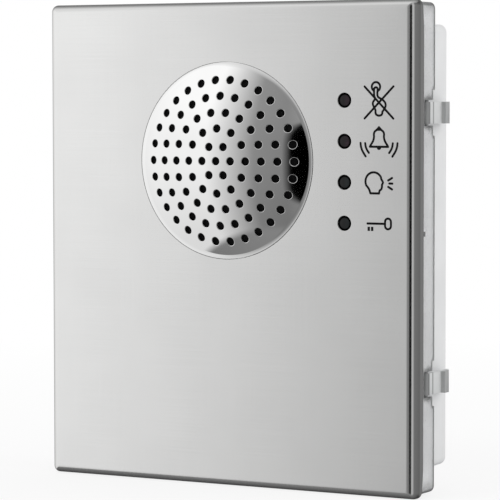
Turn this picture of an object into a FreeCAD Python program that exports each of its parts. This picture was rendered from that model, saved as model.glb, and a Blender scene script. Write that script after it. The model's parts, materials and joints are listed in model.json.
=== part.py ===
import FreeCAD, Part
import math
import os

V = FreeCAD.Vector

# Frame of the part, in millimetres. The origin is the centre of the rear housing's back face,
# the face that points into the wall. X runs to the right as seen from the street, Y runs into
# the wall and Z runs up.

# Front plate, a tray pressed from stainless sheet
plate_width = 107.5
plate_height = 123.3
plate_sheet = 0.8
plate_corner_radius = 3.0
plate_edge_radius = 2.5
skirt_depth = 4.2
corner_lift = 0.8
corner_lift_reach = 7.0
lug_height = 1.2
lug_reach = 0.8
lug_z = 3.9
stud_radius = 1.5
stud_length = 5.6
nut_across = 5.5
nut_depth = 2.4
thread_fit = 0.05
stud_inset = 12.5
stud_to_column = 6.65

# Domed grille
grille_drop = 40.2
grille_radius = 25.0
grille_rise = 5.25
grille_sheet = 0.8
grille_rim_bevel = 0.35
grille_flange_width = 3.5
grille_hole_radius = 1.0
grille_hole_sides = 8
grille_ring_pitch = 4.11
grille_rings = 5
grille_clearance = 0.08

# Acoustic fleece behind the domed grille
fleece_gap = 0.05
fleece_sheet = 0.3
fleece_radius = 23.8
fleece_bands = 4

# Lamps
lamp_x = 33.87
lamp_drop = 24.85
lamp_pitch = 10.16
lamp_count = 4
lamp_hole_radius = 1.85
lens_radius = 1.8
lens_flange_radius = 2.7
lens_recess = 0.12
guide_radius = 1.6
guide_fit = 0.2
guide_bar_width = 4.4
guide_bar_depth = 1.6
led_width = 2.8
led_length = 3.5
led_depth = 1.9
led_gap = 0.3

# Carrier frame, clear moulding behind the plate
rim_depth = 12.3
frame_wall = 1.8
frame_front_wall = 1.8
gasket_depth = 0.5
gasket_width = 4.5
gasket_edge = 0.4
plate_fit = 0.2
collar_gap = 0.3
collar_step = 0.45
collar_corner_radius = 1.7
stud_fit = 0.2
rib_depth = 1.8
rib_wall = 1.2
rib_fit = 0.25

# Side latches and their pockets
latch_spacing = 67.4
latch_height = 5.4
latch_pocket_height = 6.4
latch_notch_height = 11.4
latch_notch_depth = 1.1
latch_pocket_front = 6.4
latch_pivot_depth = 9.0
latch_arm = 1.4
latch_reach = 9.6
latch_heel_radius = 0.95
latch_barb = 1.3
latch_shoulder = 3.6
latch_land = 2.2
latch_tip = 0.8
pivot_pin_radius = 0.5
pivot_pin_length = 0.9
pivot_clearance = 0.05
cheek_wall = 0.8
cheek_gap = 0.25
outer_cheek_offset = 7.7
cheek_reach = 0.7

# Rear housing, white moulding
housing_reach = 13.5
housing_side_gap = 0.9
housing_end_gap = 2.8
housing_wall = 2.0
housing_draft = 0.25
housing_corner_radius = 2.0
housing_edge_radius = 1.0
pillar_inset_x = 5.2
pillar_inset_z = 5.2
pillar_radius = 4.0
column_radius = 3.2
column_pilot_depth = 8.0

# Case screws
screw_radius = 1.25
screw_clearance = 0.35
screw_bite = 7.0
screw_head_radius = 2.7
screw_head_depth = 1.7
screw_head_sink = 0.4

# Circuit board
board_depth = 14.6
board_thickness = 1.6
board_gap = 0.8
board_corner_radius = 1.5

# Loudspeaker and its clamp
speaker_radius = 18.0
speaker_flange_width = 1.8
speaker_flange_depth = 1.0
speaker_seal_depth = 1.0
speaker_seal_width = 1.4
basket_sheet = 0.7
basket_depth = 5.2
basket_windows = 4
basket_window_width = 6.0
yoke_radius = 9.0
yoke_wall = 1.2
yoke_lip = 0.4
yoke_fit = 0.05
yoke_depth = 4.2
yoke_floor = 1.4
magnet_radius = 6.5
magnet_depth = 2.1
pole_plate_depth = 1.0
coil_gap = 0.35
coil_wall = 0.4
coil_depth = 3.6
cone_drop = 2.2
cone_sheet = 0.3
cone_cap_rise = 1.2
surround_width = 2.2
surround_roll = 1.0
surround_gap = 0.3
ring_wall = 1.4
ring_fit = 0.3
clamp_depth = 1.5
clamp_ear_radius = 2.6
clamp_ear_offset = 1.9
clamp_screw_radius = 0.9
clamp_screw_head_radius = 1.8
clamp_screw_head_depth = 1.2
clamp_screw_bite = 2.4
tag_width = 5.0
tag_sheet = 0.8
tag_reach = 3.4

# Microphone
microphone_gap = 0.35
capsule_radius = 3.0
capsule_depth = 2.7
boot_wall = 1.0
boot_front = 0.6
boot_depth = 5.0
boot_fit = 0.12
boot_sound_radius = 1.2
cup_wall = 1.1
capsule_fit = 0.03

# Flat twin leads inside the case
lead_width = 3.4
lead_thickness = 0.9
lead_shift = 2.4

# Terminal block and its bay in the housing
terminal_ways = 8
terminal_pitch = 5.08
terminal_body = 8.2
terminal_depth = 8.2
terminal_z = -35.0
terminal_slope = 1.6
terminal_well_radius = 1.7
terminal_well_depth = 2.6
terminal_screw_fit = 0.1
terminal_screw_depth = 1.6
terminal_slot_width = 0.5
wire_mouth = 2.8
wire_mouth_height = 2.7
wire_mouth_depth = 3.0
bay_clearance = 0.6
bay_wire_room = 8.0
bay_wall = 1.2
bay_floor_gap = 0.3

# Bus header and its window in the housing
header_pins = 5
header_rows = 2
header_pin_spacing = 2.54
header_base_depth = 2.5
header_pin_width = 0.64
header_pin_depth = 3.4
header_z = 40.0
window_margin = 2.2

# Volume trimmers
trimmer_x = 14.0
trimmer_z = 16.0
trimmer_width = 6.8
trimmer_depth = 5.0
rotor_radius = 2.1
rotor_fit = 0.06
rotor_sink = 1.2
rotor_slot_width = 0.6
rotor_slot_depth = 0.7
trimmer_hole_radius = 2.4

# Flats round a small post, hole or screw
post_sides = 12

# Other parts on the board
capacitor_radius = 3.15
capacitor_depth = 6.6
capacitor_pitch = 9.0
capacitor_count = 3
capacitor_inset = 16.6
capacitor_z = -14.0
amplifier_length = 10.3
amplifier_width = 7.5
amplifier_depth = 2.3
amplifier_x = 14.0
amplifier_z = -6.0
controller_width = 10.0
controller_depth = 1.5
controller_inset = 22.6
controller_z = -8.0

# Planes across the wall's depth, from the street side to the wall side
face = -(rim_depth + housing_reach)
plate_back = face + plate_sheet
skirt_edge = face + skirt_depth
frame_front = plate_back + gasket_depth
wall_back = frame_front + frame_front_wall
rim = face + rim_depth
board_front = face + board_depth
board_back = board_front + board_thickness
lid_inside = -housing_wall
head_seat = -(screw_head_sink + screw_head_depth)
pivot_y = face + latch_pivot_depth
speaker_front = wall_back + speaker_seal_depth + cone_sheet
flange_back = speaker_front + speaker_flange_depth
basket_rear = speaker_front + basket_depth

# Half sizes across the front
plate_half_x = plate_width / 2
plate_half_z = plate_height / 2
frame_half_x = plate_half_x - plate_sheet - plate_fit
frame_half_z = plate_half_z - plate_sheet - plate_fit
frame_corner_radius = plate_corner_radius - plate_sheet - plate_fit
hollow_half_x = frame_half_x - frame_wall
hollow_half_z = frame_half_z - frame_wall
housing_half_x = hollow_half_x - housing_side_gap
housing_half_z = hollow_half_z - housing_end_gap
inner_half_x = housing_half_x - housing_wall
inner_half_z = housing_half_z - housing_wall
column_x = inner_half_x - pillar_inset_x
column_z = inner_half_z - pillar_inset_z
stud_x = plate_half_x - stud_inset
stud_z = column_z - stud_to_column
board_half_x = inner_half_x - housing_draft - board_gap
board_half_z = inner_half_z - housing_draft - board_gap

# Places on the front
grille_z = plate_half_z - grille_drop
microphone_z = grille_z - grille_rings * grille_ring_pitch
cone_radius = speaker_radius - speaker_flange_width - surround_width
speaker_ring_radius = speaker_radius + ring_fit + ring_wall
speaker_z = microphone_z + capsule_radius + boot_wall + microphone_gap + speaker_ring_radius
capacitor_x = board_half_x - capacitor_inset
controller_x = controller_inset - board_half_x
lamp_top = plate_half_z - lamp_drop
lamp_places = [lamp_top - lamp_pitch * i for i in range(lamp_count)]
corners = [(1, 1), (-1, 1), (-1, -1), (1, -1)]


def box(x, y, z):
    """Block between a low and a high value on each axis."""
    return Part.makeBox(x[1] - x[0], y[1] - y[0], z[1] - z[0], V(x[0], y[0], z[0]))


def centred(value, width):
    return (value - width / 2, value + width / 2)


def rod(radius, x, z, y):
    """Cylinder along Y between two planes."""
    return Part.makeCylinder(radius, y[1] - y[0], V(x, y[0], z), V(0, 1, 0))


def tube(inner, outer, x, z, y):
    return rod(outer, x, z, y).cut(rod(inner, x, z, y))


def post(radius, x, z, y, sides=post_sides):
    """Regular prism along Y whose flats lie at the radius, for the small round forms that repeat."""
    half_turn = math.pi / sides
    reach = radius / math.cos(half_turn)
    angles = [half_turn * (2 * i + 1) for i in range(sides)]
    line = [V(x + reach * math.cos(a), y[0], z + reach * math.sin(a)) for a in angles]
    return Part.Face(Part.makePolygon(line + [line[0]])).extrude(V(0, y[1] - y[0], 0))


def outline(half_x, half_z, radius, y):
    """Rectangle with round corners, as a closed wire in a plane across Y."""
    edges = []
    turn = math.sqrt(0.5)
    flat_x = half_x - radius
    flat_z = half_z - radius
    for i, (sx, sz) in enumerate(corners):
        centre = V(sx * flat_x, y, sz * flat_z)
        side = centre + V(sx * radius, 0, 0)
        end = centre + V(0, 0, sz * radius)
        middle = centre + V(sx * radius * turn, 0, sz * radius * turn)
        first, last = (side, end) if sx * sz > 0 else (end, side)
        edges.append(Part.Arc(first, middle, last).toShape())
        nx, nz = corners[(i + 1) % len(corners)]
        if nx == sx:
            goal = V(nx * half_x, y, nz * flat_z)
        else:
            goal = V(nx * flat_x, y, nz * half_z)
        edges.append(Part.makeLine(last, goal))
    return Part.Wire(edges)


def slab(half_x, half_z, radius, y):
    """Plate with round corners between two planes."""
    return Part.Face(outline(half_x, half_z, radius, y[0])).extrude(V(0, y[1] - y[0], 0))


def edges_in_plane(shape, y):
    """Edges that lie wholly in a plane across Y."""
    near = 1e-4
    return [e for e in shape.Edges if abs(e.BoundBox.YMin - y) < near and abs(e.BoundBox.YMax - y) < near]


def revolved(points, x, z):
    """Solid turned about a line along Y, from its half section as (radius, y) points."""
    line = [V(x + radius, y, z) for radius, y in points]
    face_shape = Part.Face(Part.makePolygon(line + [line[0]]))
    return face_shape.revolve(V(x, 0, z), V(0, 1, 0), 360)


def prism(points, x):
    """Solid with one section along X, from its section as (y, z) points."""
    line = [V(x[0], y, z) for y, z in points]
    return Part.Face(Part.makePolygon(line + [line[0]])).extrude(V(x[1] - x[0], 0, 0))


def front_cover():
    """Tray with bent edges, four welded studs, a dome opening and lamp holes."""
    outer = slab(plate_half_x, plate_half_z, plate_corner_radius, (face, skirt_edge))
    outer = outer.makeFillet(plate_edge_radius, edges_in_plane(outer, face))
    inner = slab(plate_half_x - plate_sheet, plate_half_z - plate_sheet,
                 plate_corner_radius - plate_sheet, (plate_back, skirt_edge))
    inner = inner.makeFillet(plate_edge_radius - plate_sheet, edges_in_plane(inner, plate_back))
    cover = outer.cut(inner)
    cover = cover.cut(rod(grille_radius + grille_clearance, 0, grille_z, (face, plate_back)))
    for z in lamp_places:
        cover = cover.cut(rod(lamp_hole_radius, lamp_x, z, (face, plate_back)))
    for sx, sz in corners:
        cover = cover.cut(corner_lift_tool(sx, sz))
        stud_span = (plate_back, plate_back + stud_length)
        cover = cover.fuse(post(stud_radius, sx * stud_x, sz * stud_z, stud_span))
    for side in (-1, 1):
        wall = sorted((side * plate_half_x, side * (plate_half_x - plate_sheet)))
        lug = box(wall, (skirt_edge - lug_reach, skirt_edge + lug_reach), centred(lug_z, lug_height))
        cover = cover.fuse(lug)
    return cover.removeSplitter()


def corner_lift_tool(sx, sz):
    """Tilted block that takes the back edge of the skirt forward at one corner."""
    size = corner_lift_reach * 2
    diagonal = corner_lift_reach * math.sqrt(0.5)
    tilt = math.degrees(math.atan2(corner_lift, diagonal))
    tool = Part.makeBox(size, size, size * 2, V(0, 0, -size))
    tool.rotate(V(0, 0, 0), V(0, 0, 1), -tilt)
    tool.rotate(V(0, 0, 0), V(0, 1, 0), -math.degrees(math.atan2(sz, sx)))
    tool.translate(V(sx * (plate_half_x - corner_lift_reach / 2), skirt_edge,
                     sz * (plate_half_z - corner_lift_reach / 2)))
    return tool


def grille_holes():
    """One hole at the centre and six more in each ring than in the last."""
    reach = (face - grille_rise - grille_sheet, plate_back)
    places = [(0, 0)]
    for ring in range(1, grille_rings + 1):
        count = 6 * ring
        places += [(ring * grille_ring_pitch, 2 * math.pi * i / count) for i in range(count)]
    return [post(grille_hole_radius, distance * math.cos(angle), grille_z + distance * math.sin(angle),
                 reach, grille_hole_sides) for distance, angle in places]


def dome_radius():
    """Radius of the sphere that the grille's street side lies on."""
    return (grille_radius ** 2 + grille_rise ** 2) / (2 * grille_rise)


def on_sphere(radius, r):
    """Point of a sphere about the dome's centre, at a distance to the right of the dome's axis."""
    centre_y = face - grille_rise + dome_radius()
    return V(r, centre_y - math.sqrt(radius ** 2 - r ** 2), grille_z)


def speaker_grille():
    """Domed sheet with a neck that fills the plate's opening and a flange behind the plate."""
    sphere_radius = dome_radius()
    inner_sphere = sphere_radius - grille_sheet
    neck = grille_radius - grille_sheet
    flange = grille_radius + grille_flange_width
    flange_rear = plate_back + grille_sheet
    bevel_start = grille_radius - grille_rim_bevel
    outer_arc = Part.Arc(on_sphere(sphere_radius, 0), on_sphere(sphere_radius, bevel_start / 2),
                         on_sphere(sphere_radius, bevel_start)).toShape()
    inner_arc = Part.Arc(on_sphere(inner_sphere, neck), on_sphere(inner_sphere, neck / 2),
                         on_sphere(inner_sphere, 0)).toShape()
    rim = [on_sphere(sphere_radius, bevel_start), V(grille_radius, face + grille_rim_bevel, grille_z),
           V(grille_radius, plate_back, grille_z), V(flange, plate_back, grille_z),
           V(flange, flange_rear, grille_z), V(neck, flange_rear, grille_z), on_sphere(inner_sphere, neck)]
    edges = [outer_arc] + [Part.makeLine(a, b) for a, b in zip(rim, rim[1:])] + [inner_arc]
    edges.append(Part.makeLine(on_sphere(inner_sphere, 0), on_sphere(sphere_radius, 0)))
    dome = Part.Face(Part.Wire(edges)).revolve(V(0, 0, grille_z), V(0, 1, 0), 360)
    return dome.cut(grille_holes())


def grille_fleece():
    """Thin black fleece that lines the dome in a few conical bands, between its holes and the loudspeaker."""
    outer = dome_radius() - grille_sheet - fleece_gap
    inner = outer - fleece_sheet
    radii = [fleece_radius * i / fleece_bands for i in range(fleece_bands + 1)]
    line = [on_sphere(outer, r) for r in radii] + [on_sphere(inner, r) for r in reversed(radii)]
    return Part.Face(Part.makePolygon(line + [line[0]])).revolve(V(0, 0, grille_z), V(0, 1, 0), 360)


def cover_nut(x, z):
    """Hexagon nut on a stud of the plate."""
    span = (wall_back, wall_back + nut_depth)
    return post(nut_across / 2, x, z, span, 6).cut(post(stud_radius + thread_fit, x, z, span))


def cover_nuts():
    return Part.makeCompound([cover_nut(sx * stud_x, sz * stud_z) for sx, sz in corners])


def cover_gasket():
    """Flat foam seal between the plate and the carrier frame."""
    half_x = plate_half_x - plate_edge_radius - gasket_edge
    half_z = plate_half_z - plate_edge_radius - gasket_edge
    radius = plate_corner_radius
    span = (plate_back, frame_front)
    outer = slab(half_x, half_z, radius, span)
    return outer.cut(slab(half_x - gasket_width, half_z - gasket_width, radius, span))


def latch_places():
    """Side and height of each latch: upper and lower, right and left."""
    half = latch_spacing / 2
    return {"upper_right": (1, half), "lower_right": (1, -half),
            "upper_left": (-1, half), "lower_left": (-1, -half)}


def latch_pivot_x():
    """Distance of a latch's pivot line from the centre plane."""
    return frame_half_x - latch_arm / 2


def latch(side, z):
    """Moulded arm with a round heel, two pivot pins and a barb that points outwards."""
    outer = frame_half_x
    inner = frame_half_x - latch_arm
    shoulder = rim + latch_shoulder
    tip = rim + latch_reach
    section = [(inner, pivot_y), (outer, pivot_y), (outer, shoulder), (outer + latch_barb, shoulder),
               (outer + latch_barb, shoulder + latch_land), (inner + latch_tip, tip), (inner, tip)]
    low = z - latch_height / 2
    points = [V(x, y, low) for x, y in section]
    arm = Part.Face(Part.makePolygon(points + [points[0]])).extrude(V(0, 0, latch_height))
    pivot = V(latch_pivot_x(), pivot_y, low)
    heel = Part.makeCylinder(latch_heel_radius, latch_height, pivot, V(0, 0, 1))
    pin = Part.makeCylinder(pivot_pin_radius, latch_height + 2 * pivot_pin_length,
                            pivot - V(0, 0, pivot_pin_length), V(0, 0, 1))
    piece = arm.fuse([heel, pin]).removeSplitter()
    return piece if side > 0 else piece.mirror(V(0, 0, 0), V(1, 0, 0))


def latch_pocket(side, z):
    """Slot through the side wall for a latch, a wider notch in the rim, and the pivot hole."""
    wall = sorted((side * frame_half_x, side * (hollow_half_x - cheek_reach)))
    slot = box(wall, (face + latch_pocket_front, rim), centred(z, latch_pocket_height))
    notch = box(wall, (rim - latch_notch_depth, rim), centred(z, latch_notch_height))
    reach = latch_height / 2 + pivot_pin_length + cheek_gap
    hole = Part.makeCylinder(pivot_pin_radius + pivot_clearance, 2 * reach,
                             V(side * latch_pivot_x(), pivot_y, z - reach), V(0, 0, 1))
    return slot.fuse([notch, hole])


def latch_cheeks(side, z):
    """Low ribs inside the side wall that stiffen it above and below a latch."""
    inner = sorted((side * hollow_half_x, side * (hollow_half_x - cheek_reach)))
    span = (wall_back, rim - latch_notch_depth)
    near = latch_pocket_height / 2 + cheek_wall
    ribs = [box(inner, span, centred(z, 2 * near))]
    for end in (-1, 1):
        ribs.append(box(inner, span, centred(z + end * outer_cheek_offset, cheek_wall)))
    return ribs


def speaker_ears():
    """Places of the two ears that hold the speaker clamp."""
    reach = speaker_ring_radius + clamp_ear_offset
    return [(-reach, speaker_z), (reach, speaker_z)]


def carrier_frame():
    """Clear tray with a taller collar behind the plate's skirt, screw columns and latch pockets."""
    outer = slab(frame_half_x, frame_half_z, frame_corner_radius, (frame_front, rim))
    front_round = plate_edge_radius - plate_sheet + plate_fit / 2
    outer = outer.makeFillet(min(front_round, frame_corner_radius - plate_fit / 2),
                             edges_in_plane(outer, frame_front))
    collar_span = (skirt_edge + collar_gap, rim)
    outer = outer.fuse(slab(frame_half_x, frame_half_z + collar_step, collar_corner_radius, collar_span))
    hollow = slab(hollow_half_x, hollow_half_z, frame_corner_radius / 2, (wall_back, rim))
    frame = outer.cut(hollow)

    adds = []
    rib_x = inner_half_x - rib_fit
    rib_z = inner_half_z - rib_fit
    rib_span = (wall_back, wall_back + rib_depth)
    rib = slab(rib_x, rib_z, housing_corner_radius / 2, rib_span)
    adds.append(rib.cut(slab(rib_x - rib_wall, rib_z - rib_wall, housing_corner_radius / 2, rib_span)))
    for sx, sz in corners:
        adds.append(post(column_radius, sx * column_x, sz * column_z, (wall_back, board_front)))
    ring_span = (wall_back, flange_back)
    ring_inner = speaker_radius + ring_fit
    adds.append(rod(speaker_ring_radius, 0, speaker_z, ring_span))
    for x, z in speaker_ears():
        adds.append(post(clamp_ear_radius, x, z, ring_span))
    cup_inner = capsule_radius + boot_wall + boot_fit
    adds.append(rod(cup_inner + cup_wall, 0, microphone_z, ring_span))
    for side, z in latch_places().values():
        adds.extend(latch_cheeks(side, z))
    frame = frame.fuse(adds)

    cuts = [rod(ring_inner, 0, speaker_z, ring_span)]
    cuts.append(rod(speaker_radius - speaker_seal_width, 0, speaker_z, (frame_front, wall_back)))
    recess_radius = grille_radius + grille_flange_width + plate_fit
    cuts.append(rod(recess_radius, 0, grille_z, (frame_front, plate_back + grille_sheet)))
    cuts.append(rod(cup_inner, 0, microphone_z, ring_span))
    cuts.append(post(boot_sound_radius, 0, microphone_z, (frame_front, wall_back)))
    for z in lamp_places:
        cuts.append(post(guide_radius + guide_fit, lamp_x, z, (frame_front, wall_back)))
    for sx, sz in corners:
        pilot = (board_front - column_pilot_depth, board_front)
        cuts.append(post(screw_radius + thread_fit, sx * column_x, sz * column_z, pilot))
        cuts.append(post(stud_radius + stud_fit, sx * stud_x, sz * stud_z, (frame_front, wall_back)))
    clamp_pilot = (flange_back - clamp_screw_bite, flange_back)
    for x, z in speaker_ears():
        cuts.append(post(clamp_screw_radius + thread_fit, x, z, clamp_pilot))
    for side, z in latch_places().values():
        cuts.append(latch_pocket(side, z))
    return frame.cut(cuts).removeSplitter()


def terminal_span():
    """Low and high X of the terminal block."""
    return centred(0, terminal_ways * terminal_pitch)


def bay_outline():
    """Terminal bay as low and high X and Z: the block with clearance, and room for wires below it."""
    low, high = terminal_span()
    top = terminal_z + terminal_body / 2 + bay_clearance
    bottom = terminal_z - terminal_body / 2 - bay_wire_room
    return (low - bay_clearance, high + bay_clearance), (bottom, top)


def window_outline():
    """Window over the bus header."""
    width = header_pins * header_pin_spacing + 2 * window_margin
    height = header_rows * header_pin_spacing + 2 * window_margin
    return centred(0, width), centred(header_z, height)


def rear_housing():
    """Tapered box, open to the front, with a terminal bay, a window, trimmer holes and screw pillars."""
    start = outline(housing_half_x, housing_half_z, housing_corner_radius, wall_back)
    end = outline(housing_half_x - housing_draft, housing_half_z - housing_draft, housing_corner_radius, 0)
    outer = Part.makeLoft([start, end], True, True)
    outer = outer.makeFillet(housing_edge_radius, edges_in_plane(outer, 0))
    inner_radius = housing_corner_radius / 2
    start = outline(inner_half_x, inner_half_z, inner_radius, wall_back)
    end = outline(inner_half_x - housing_draft, inner_half_z - housing_draft, inner_radius, lid_inside)
    housing = outer.cut(Part.makeLoft([start, end], True, True))

    bay_x, bay_z = bay_outline()
    wall_x = (bay_x[0] - bay_wall, bay_x[1] + bay_wall)
    wall_z = (bay_z[0] - bay_wall, bay_z[1] + bay_wall)
    adds = [box(wall_x, (board_back + bay_floor_gap, lid_inside), wall_z)]
    for sx, sz in corners:
        adds.append(post(pillar_radius, sx * column_x, sz * column_z, (board_back, lid_inside)))
    housing = housing.fuse(adds)

    window_x, window_z = window_outline()
    cuts = [box(bay_x, (board_back, 0), bay_z), box(window_x, (lid_inside, 0), window_z)]
    for side in (-1, 1):
        cuts.append(rod(trimmer_hole_radius, side * trimmer_x, trimmer_z, (lid_inside, 0)))
    for sx, sz in corners:
        x, z = sx * column_x, sz * column_z
        cuts.append(post(screw_radius + screw_clearance, x, z, (board_back, head_seat)))
        cuts.append(post(screw_head_radius + screw_clearance, x, z, (head_seat, 0)))
    return housing.cut(cuts).removeSplitter()


def case_screws():
    """Four long screws that hold the housing and the board to the frame's columns."""
    screws = []
    for sx, sz in corners:
        x, z = sx * column_x, sz * column_z
        shank = post(screw_radius, x, z, (board_front - screw_bite, head_seat))
        head = post(screw_head_radius, x, z, (head_seat, -screw_head_sink))
        screws.append(shank.fuse(head).removeSplitter())
    return Part.makeCompound(screws)


def circuit_board():
    """Board clamped between the frame's columns and the housing's pillars."""
    span = (board_front, board_back)
    board = slab(board_half_x, board_half_z, board_corner_radius, span)
    hole_radius = screw_radius + screw_clearance
    return board.cut([post(hole_radius, sx * column_x, sz * column_z, span) for sx, sz in corners])


def speaker_basket():
    """Pressed basket: a flange, a straight wall, a floor with windows and a tag for the leads."""
    inner = speaker_radius - speaker_flange_width
    floor_inner = yoke_radius - yoke_lip + yoke_fit
    floor_front = basket_rear - basket_sheet
    section = [(inner, speaker_front), (speaker_radius, speaker_front), (speaker_radius, flange_back),
               (inner + basket_sheet, flange_back), (inner + basket_sheet, basket_rear),
               (floor_inner, basket_rear), (floor_inner, floor_front), (inner, floor_front)]
    basket = revolved(section, 0, speaker_z)
    cuts = []
    for i in range(basket_windows):
        window = box((yoke_radius + basket_sheet, inner - basket_sheet), (floor_front, basket_rear),
                     centred(0, basket_window_width))
        window.rotate(V(0, 0, 0), V(0, 1, 0), (i + 0.5) * 360 / basket_windows)
        window.translate(V(0, 0, speaker_z))
        cuts.append(window)
    basket = basket.cut(cuts)
    tag = box(centred(0, tag_width), (basket_rear, basket_rear + tag_sheet), tag_span())
    return basket.fuse(tag).removeSplitter()


def tag_span():
    """Low and high Z of the solder tag, beside the yoke."""
    start = speaker_z + yoke_radius + basket_sheet
    return (start, start + tag_reach)


def speaker_yoke():
    """Iron cup that closes the back of the loudspeaker, with a lip in the basket's floor."""
    front = basket_rear - basket_sheet
    rear = basket_rear + yoke_depth
    inner = yoke_radius - yoke_wall
    lip = yoke_radius - yoke_lip
    section = [(0, rear), (yoke_radius, rear), (yoke_radius, basket_rear), (lip, basket_rear), (lip, front),
               (inner, front), (inner, rear - yoke_floor), (0, rear - yoke_floor)]
    return revolved(section, 0, speaker_z)


def magnet_rear():
    return basket_rear + yoke_depth - yoke_floor


def speaker_magnet():
    return rod(magnet_radius, 0, speaker_z, (magnet_rear() - magnet_depth, magnet_rear()))


def speaker_pole_plate():
    front = magnet_rear() - magnet_depth - pole_plate_depth
    return rod(magnet_radius, 0, speaker_z, (front, front + pole_plate_depth))


def voice_coil():
    """Coil in the gap between the pole plate and the yoke."""
    inner = magnet_radius + coil_gap
    front = speaker_front + cone_drop + cone_sheet
    return tube(inner, inner + coil_wall, 0, speaker_z, (front, front + coil_depth))


def speaker_cone():
    """Paper cone with a raised cap over the voice coil."""
    coil_radius = magnet_radius + coil_gap + coil_wall
    low = speaker_front + cone_drop
    front = [(cone_radius, speaker_front), (coil_radius, low), (coil_radius / 2, low - cone_cap_rise),
             (0, low - cone_cap_rise)]
    back = [(radius, y + cone_sheet) for radius, y in reversed(front)]
    return revolved(front + back, 0, speaker_z)


def speaker_surround():
    """Roll between the cone's edge and the basket's flange, and the skin that lies on the flange."""
    rim_inner = speaker_radius - speaker_flange_width
    inner = cone_radius + surround_gap
    shoulder = (rim_inner - inner) / 4
    skin_front = speaker_front - cone_sheet
    crest = skin_front - surround_roll
    front = [(inner, skin_front), (inner + shoulder, crest), (rim_inner - shoulder, crest),
             (rim_inner, skin_front), (speaker_radius - ring_fit, skin_front)]
    back = [(radius, y + cone_sheet) for radius, y in reversed(front)]
    return revolved(front + back, 0, speaker_z)


def speaker_seal():
    """Foam ring between the carrier frame and the loudspeaker."""
    return tube(speaker_radius - speaker_seal_width, speaker_radius, 0, speaker_z,
                (wall_back, wall_back + speaker_seal_depth))


def speaker_clamp():
    """Ring with two ears that presses the loudspeaker's flange against its seal."""
    span = (flange_back, flange_back + clamp_depth)
    inner = speaker_radius - speaker_flange_width + basket_sheet + ring_fit
    clamp = rod(speaker_ring_radius, 0, speaker_z, span)
    reach = speaker_ears()[1][0]
    clamp = clamp.fuse(box((-reach, reach), span, centred(speaker_z, 2 * clamp_ear_radius)))
    for x, z in speaker_ears():
        clamp = clamp.fuse(post(clamp_ear_radius, x, z, span))
    clamp = clamp.cut(rod(inner, 0, speaker_z, span))
    for x, z in speaker_ears():
        clamp = clamp.cut(post(clamp_screw_radius + thread_fit, x, z, span))
    return clamp.removeSplitter()


def clamp_screws():
    screws = []
    clamp_back = flange_back + clamp_depth
    for x, z in speaker_ears():
        shank = post(clamp_screw_radius, x, z, (flange_back - clamp_screw_bite + ring_fit, clamp_back))
        head = post(clamp_screw_head_radius, x, z, (clamp_back, clamp_back + clamp_screw_head_depth))
        screws.append(shank.fuse(head).removeSplitter())
    return Part.makeCompound(screws)


def microphone_boot():
    """Rubber sleeve that holds the microphone capsule off the moulding."""
    outer = capsule_radius + boot_wall
    boot = rod(outer, 0, microphone_z, (wall_back, wall_back + boot_depth))
    boot = boot.cut(rod(capsule_radius + capsule_fit, 0, microphone_z,
                        (wall_back + boot_front, wall_back + boot_depth)))
    return boot.cut(post(boot_sound_radius, 0, microphone_z, (wall_back, wall_back + boot_front)))


def microphone_capsule():
    front = wall_back + boot_front
    return rod(capsule_radius, 0, microphone_z, (front, front + capsule_depth))


def lens(z):
    """Tinted lamp window with a flange behind the plate."""
    stem = rod(lens_radius, lamp_x, z, (face + lens_recess, frame_front))
    flange = rod(lens_flange_radius, lamp_x, z, (plate_back, frame_front))
    return stem.fuse(flange).removeSplitter()


def light_guide():
    """Clear bar with one rod behind each lens, from the lens to the lamp on the board."""
    top = lamp_places[0] + guide_bar_width / 2
    bottom = lamp_places[-1] - guide_bar_width / 2
    guide = box(centred(lamp_x, guide_bar_width), (wall_back, wall_back + guide_bar_depth), (bottom, top))
    for z in lamp_places:
        guide = guide.fuse(post(guide_radius, lamp_x, z, (frame_front, board_front - led_depth - led_gap)))
    return guide.removeSplitter()


def status_leds():
    return Part.makeCompound([box(centred(lamp_x, led_width), (board_front - led_depth, board_front),
                                  centred(z, led_length)) for z in lamp_places])


def terminal_ways_x():
    """X of each way of the terminal block."""
    low = terminal_span()[0]
    return [low + terminal_pitch * (i + 0.5) for i in range(terminal_ways)]


def terminal_block():
    """Block with a sloped top edge, a round well for each screw and a square mouth for each wire."""
    rear = board_back + terminal_depth
    bottom, top = centred(terminal_z, terminal_body)
    section = [(board_back, bottom), (rear, bottom), (rear, top - terminal_slope),
               (rear - terminal_slope, top), (board_back, top)]
    block = prism(section, terminal_span())
    well = (rear - terminal_well_depth, rear)
    mouth_y = centred(board_back + wire_mouth_height, wire_mouth)
    mouth_z = (bottom, bottom + wire_mouth_depth)
    cuts = []
    for x in terminal_ways_x():
        cuts.append(post(terminal_well_radius, x, terminal_z - terminal_slope / 2, well))
        cuts.append(box(centred(x, wire_mouth), mouth_y, mouth_z))
    return block.cut(cuts)


def terminal_screws():
    """Slotted screws at the floor of the wells."""
    floor = board_back + terminal_depth - terminal_well_depth
    z = terminal_z - terminal_slope / 2
    radius = terminal_well_radius - terminal_screw_fit
    top = floor + terminal_screw_depth
    screws = []
    for x in terminal_ways_x():
        slot = box(centred(x, 2 * terminal_well_radius), (top - terminal_slot_width, top),
                   centred(z, terminal_slot_width))
        screws.append(post(radius, x, z, (floor, top)).cut(slot))
    return Part.makeCompound(screws)


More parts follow.
